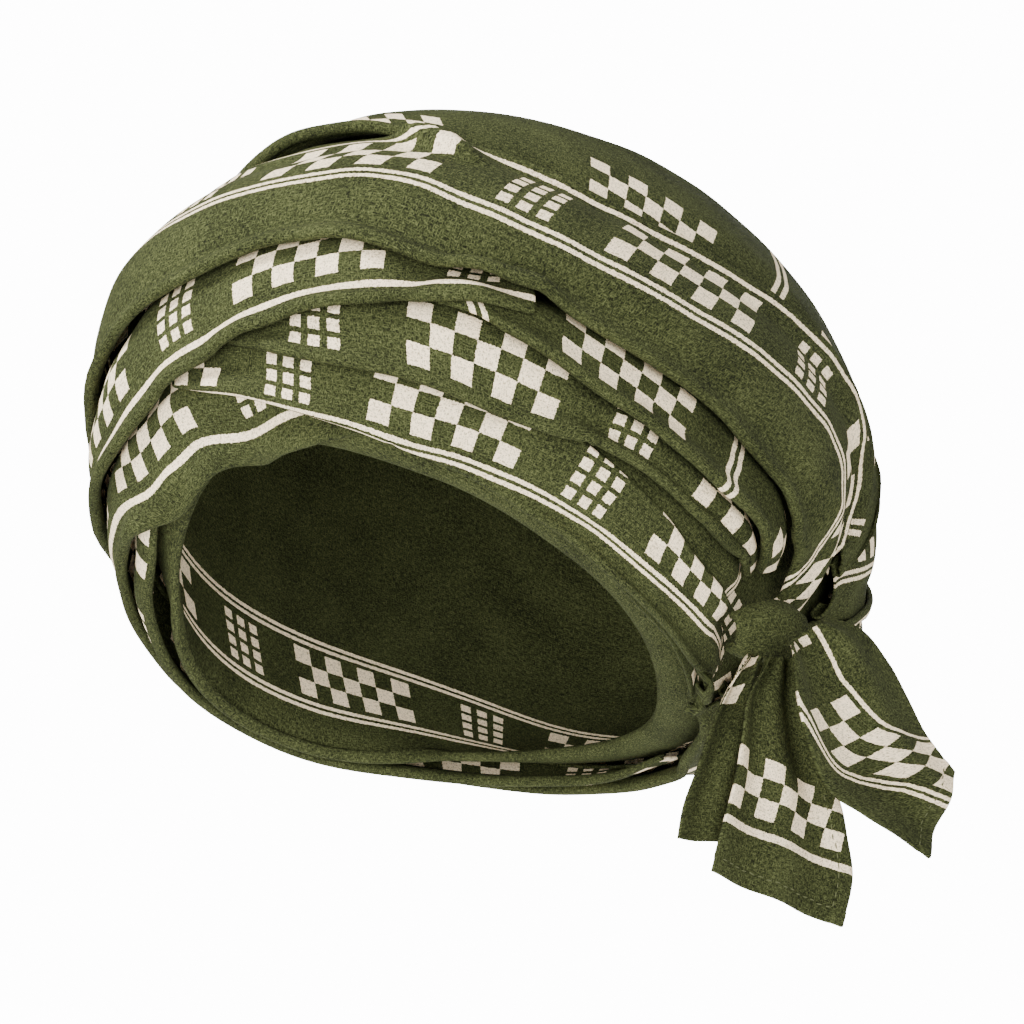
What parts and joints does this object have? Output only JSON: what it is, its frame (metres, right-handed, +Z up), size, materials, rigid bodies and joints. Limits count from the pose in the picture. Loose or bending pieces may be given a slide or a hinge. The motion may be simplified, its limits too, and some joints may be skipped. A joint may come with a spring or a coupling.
{
  "type": "head wrap",
  "caption": "Hollow head wrap wound from one long checked scarf, open below for the head, with a side knot behind the left ear and hanging ends.",
  "frame": {"origin": "middle of the rim, where the head holds the wrap", "axes": "+Z up along the head's axis, -Y the way the brow faces, +X the wearer's left, where the knot is"},
  "size_m": [0.2579, 0.3177, 0.2874],
  "materials": {
    "cloth": "matt woven cotton, olive green with cream checks and stripes"
  },
  "bodies": {
    "root": {"cap": "cloth", "rim_roll": "cloth", "far_roll": "cloth", "brow_band": "cloth", "plump_roll": "cloth", "lower_band": "cloth", "middle_band": "cloth", "upper_band": "cloth", "side_band": "cloth", "back_band": "cloth", "crown_band": "cloth", "tucked_band": "cloth", "top_band": "cloth", "main_band": "cloth", "knot": "cloth", "tail_left": "cloth", "tail_middle": "cloth", "tail_right": "cloth"}
  },
  "joints": []
}
